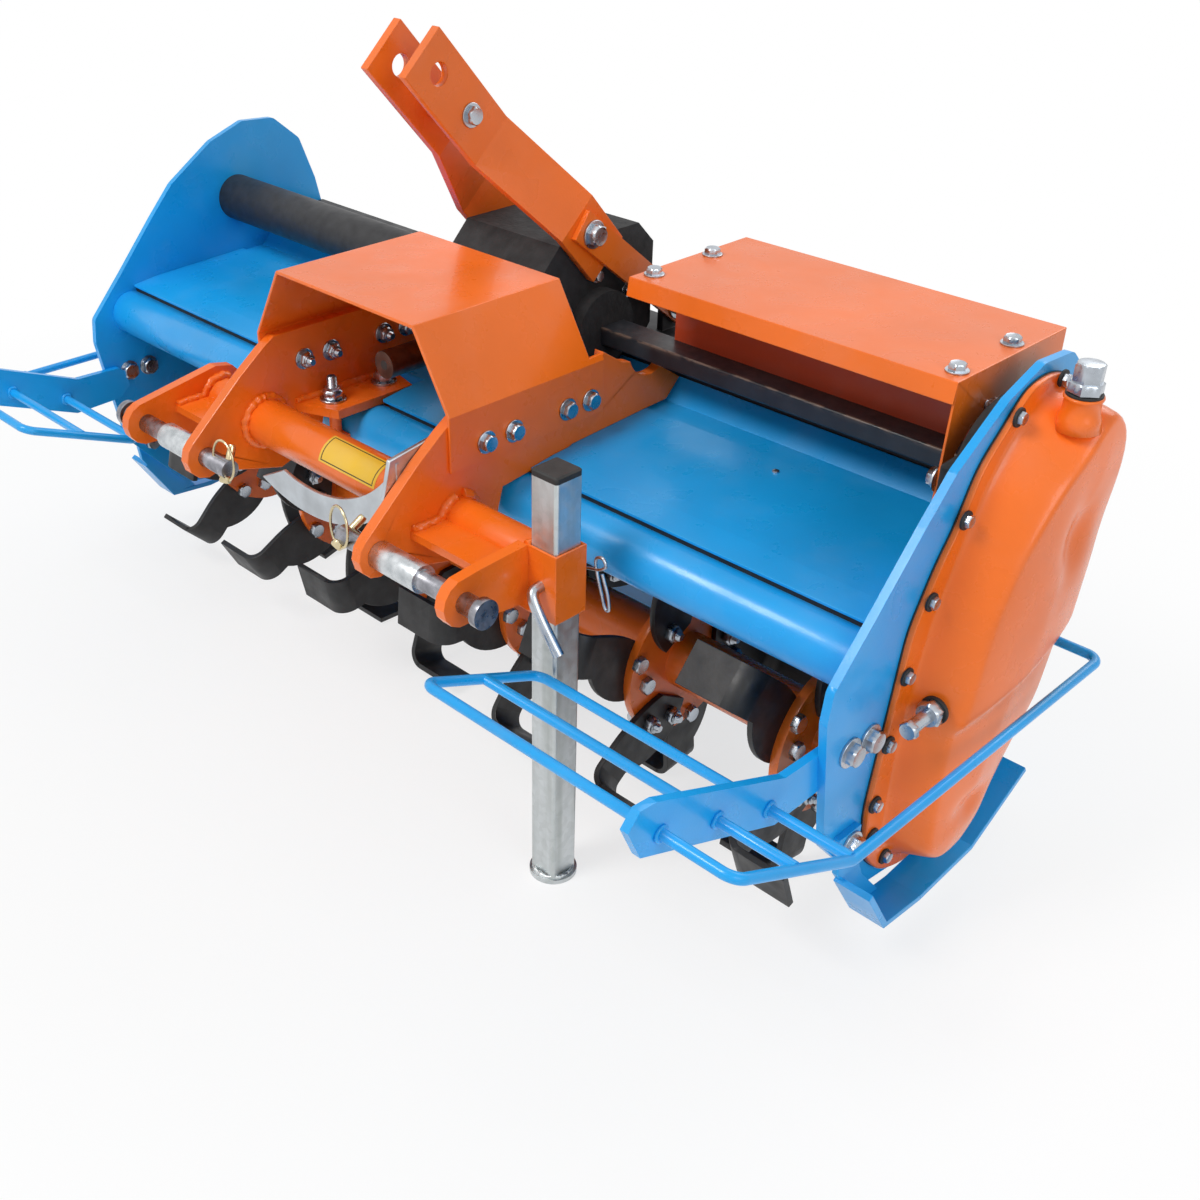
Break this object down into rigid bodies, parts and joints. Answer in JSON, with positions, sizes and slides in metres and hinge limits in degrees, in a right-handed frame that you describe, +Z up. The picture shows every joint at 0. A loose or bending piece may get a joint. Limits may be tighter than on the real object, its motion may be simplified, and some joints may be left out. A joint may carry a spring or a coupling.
{
  "type": "rotavator",
  "caption": "Rotary tiller for a three-point hitch, with a bladed rotor, gear case, hinged rear board, parking stand and rod guards.",
  "frame": {"origin": "on the axis of the two lower hitch pins, midway between the hitch plates", "axes": "+X across the machine towards the gear case, +Y towards the rear, +Z up"},
  "size_m": [1.657, 0.7689, 0.9494],
  "materials": {
    "orange_paint": "gloss",
    "blue_paint": "gloss",
    "black_paint": "satin",
    "cast_black": "rough",
    "zinc_steel": "galvanised",
    "black_rubber": "matte"
  },
  "bodies": {
    "frame": {"case_gasket": "black_rubber", "cross_beam": "black_paint", "deck_front": "blue_paint", "deck_rear": "blue_paint", "drive_flange": "cast_black", "drive_tube": "black_paint", "filler_cap": "zinc_steel", "front_tube": "blue_paint", "gear_case": "orange_paint", "gearbox": "cast_black", "guard_left": "blue_paint", "guard_right": "blue_paint", "hitch_cross_tube": "orange_paint", "hitch_lug_left": "orange_paint", "hitch_lug_right": "orange_paint", "hitch_pin_left": "zinc_steel", "hitch_pin_right": "zinc_steel", "hitch_plate_left": "orange_paint", "hitch_plate_right": "orange_paint", "mast_leg_left": "orange_paint", "mast_leg_right": "orange_paint", "mast_spacer": "orange_paint", "mast_stay_left": "orange_paint", "mast_stay_right": "orange_paint", "quadrant_bolts": "zinc_steel", "rotor_hub_left": "black_paint", "rotor_hub_right": "black_paint", "shaft_hood": "orange_paint", "shaft_hook": "zinc_steel", "side_plate_left": "blue_paint", "side_plate_right": "blue_paint", "skid_left": "blue_paint", "skid_right": "blue_paint", "stand_socket": "orange_paint", "support_tube": "black_paint", "tail_hinge_rod": "zinc_steel", "top_cover": "orange_paint", "tube_clamp_left": "orange_paint", "tube_clamp_right": "orange_paint"},
    "rotor": {"rotor_tube": "orange_paint", "rotor_blades": "black_paint"},
    "input_shaft": {"pto_shaft": "zinc_steel"},
    "tailboard": {"tailboard": "blue_paint", "tail_quadrants": "blue_paint"},
    "stand": {"stand_tube": "zinc_steel", "stand_cap": "black_rubber"}
  },
  "joints": [
    {"name": "rotor_spin", "type": "hinge", "parent": "frame", "child": "rotor", "pos_m": [0, 0.36, -0.232], "axis": [1, 0, 0], "continuous": true},
    {"name": "input_spin", "type": "hinge", "parent": "frame", "child": "input_shaft", "pos_m": [0, 0.163, 0.127], "axis": [0, 1, 0], "continuous": true},
    {"name": "board_hinge", "type": "hinge", "parent": "frame", "child": "tailboard", "pos_m": [0, 0.604, 0.018], "axis": [1, 0, 0], "range_deg": [0, 55]},
    {"name": "stand_slide", "type": "slide", "parent": "frame", "child": "stand", "axis": [0, 0, 1], "range_m": [0, 0.35]}
  ],
  "couplings": [
    {"joint": "input_spin", "follows": "rotor_spin", "ratio": -2.63}
  ]
}
